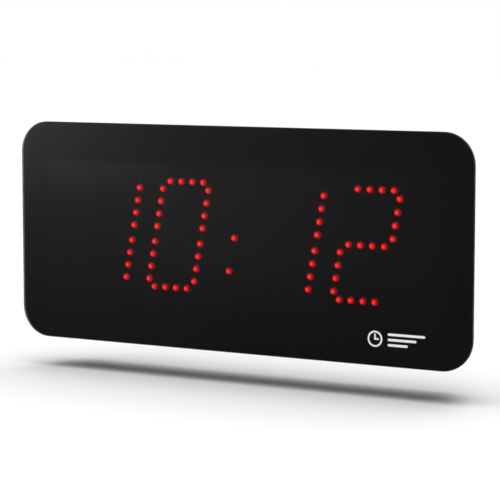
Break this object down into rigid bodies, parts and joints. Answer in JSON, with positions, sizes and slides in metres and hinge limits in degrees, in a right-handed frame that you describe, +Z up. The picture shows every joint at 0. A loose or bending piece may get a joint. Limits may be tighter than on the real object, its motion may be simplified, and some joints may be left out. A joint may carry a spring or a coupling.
{
  "type": "led wall timer",
  "caption": "Slim wall-hung LED timer with slanted round-dot digits behind an edge-to-edge smoked window, two push buttons and a hook-on bracket.",
  "frame": {"origin": "middle of the wall bracket's back face, in the wall plane, at the centre of its wall screws", "axes": "+X to the right as the reader sees it, +Y into the wall, +Z up; the window faces -Y"},
  "size_m": [0.342, 0.045, 0.15],
  "materials": {
    "bracket_steel": "bright zinc plate",
    "case_plastic": "fine moulded texture, black",
    "smoked_window": "smoked acrylic, gloss",
    "white_print": "white screen print",
    "foam_tape": "closed-cell foam",
    "mask_plastic": "matte black",
    "circuit_board": "green solder mask",
    "chip_package": "matte moulding compound",
    "resistor_ceramic": "glazed film on alumina",
    "clear_epoxy": "clear epoxy",
    "receiver_epoxy": "dark tinted epoxy",
    "screw_steel": "zinc plated",
    "connector_plastic": "glass-filled nylon",
    "standoff_brass": "turned brass",
    "metal_can": "drawn can",
    "cell_steel": "polished steel",
    "terminal_plastic": "green nylon",
    "module_plastic": "potted plastic shell",
    "fuse_glass": "clear tube, plated caps",
    "clip_brass": "sprung brass",
    "capacitor_sleeve": "shrunk sleeve",
    "choke_ferrite": "sintered ferrite",
    "button_plastic": "fine moulded texture, dark grey",
    "black_rubber": "matte rubber",
    "led_red_lit": "lit red LED",
    "led_red_dark": "unlit red LED lens"
  },
  "bodies": {
    "bracket": {"wall_bracket": "bracket_steel"},
    "clock": {"board_screws": "screw_steel", "button_cell": "cell_steel", "buzzer": "module_plastic", "cable_grommet": "black_rubber", "cable_terminal": "terminal_plastic", "capacitors": "capacitor_sleeve", "case_screws": "screw_steel", "cell_holder": "connector_plastic", "choke": "choke_ferrite", "control_board": "circuit_board", "control_chips": "chip_package", "crystal": "metal_can", "display_board": "circuit_board", "front_frame": "case_plastic", "front_window": "smoked_window", "fuse": "fuse_glass", "fuse_clips": "clip_brass", "header_pins": "connector_plastic", "header_socket": "connector_plastic", "led_driver_chips": "chip_package", "led_mask": "mask_plastic", "leds_colon": "led_red_lit", "leds_digit_1_dark": "led_red_dark", "leds_digit_1_lit": "led_red_lit", "leds_digit_2_dark": "led_red_dark", "leds_digit_2_lit": "led_red_lit", "leds_digit_3_dark": "led_red_dark", "leds_digit_3_lit": "led_red_lit", "leds_digit_4_dark": "led_red_dark", "leds_digit_4_lit": "led_red_lit", "light_sensor": "clear_epoxy", "microcontroller": "chip_package", "power_module": "module_plastic", "printed_mark": "white_print", "push_switches": "connector_plastic", "rear_cover": "case_plastic", "remote_receiver": "receiver_epoxy", "segment_resistors": "resistor_ceramic", "standoff_screws": "screw_steel", "standoffs": "standoff_brass", "terminal_screws": "screw_steel", "wall_pads": "black_rubber", "window_tape": "foam_tape"},
    "set_button": {"set_button": "button_plastic", "set_switch_plunger": "button_plastic"},
    "adjust_button": {"adjust_button": "button_plastic", "adjust_switch_plunger": "button_plastic"}
  },
  "joints": [
    {"name": "bracket_lift_off", "type": "slide", "parent": "bracket", "child": "clock", "axis": [0, 0, 1], "range_m": [0, 0.0085]},
    {"name": "set_press", "type": "slide", "parent": "clock", "child": "set_button", "axis": [0, 0, 1], "range_m": [0, 0.001], "stiffness_N_per_m": 1500},
    {"name": "adjust_press", "type": "slide", "parent": "clock", "child": "adjust_button", "axis": [0, 0, 1], "range_m": [0, 0.001], "stiffness_N_per_m": 1500}
  ]
}
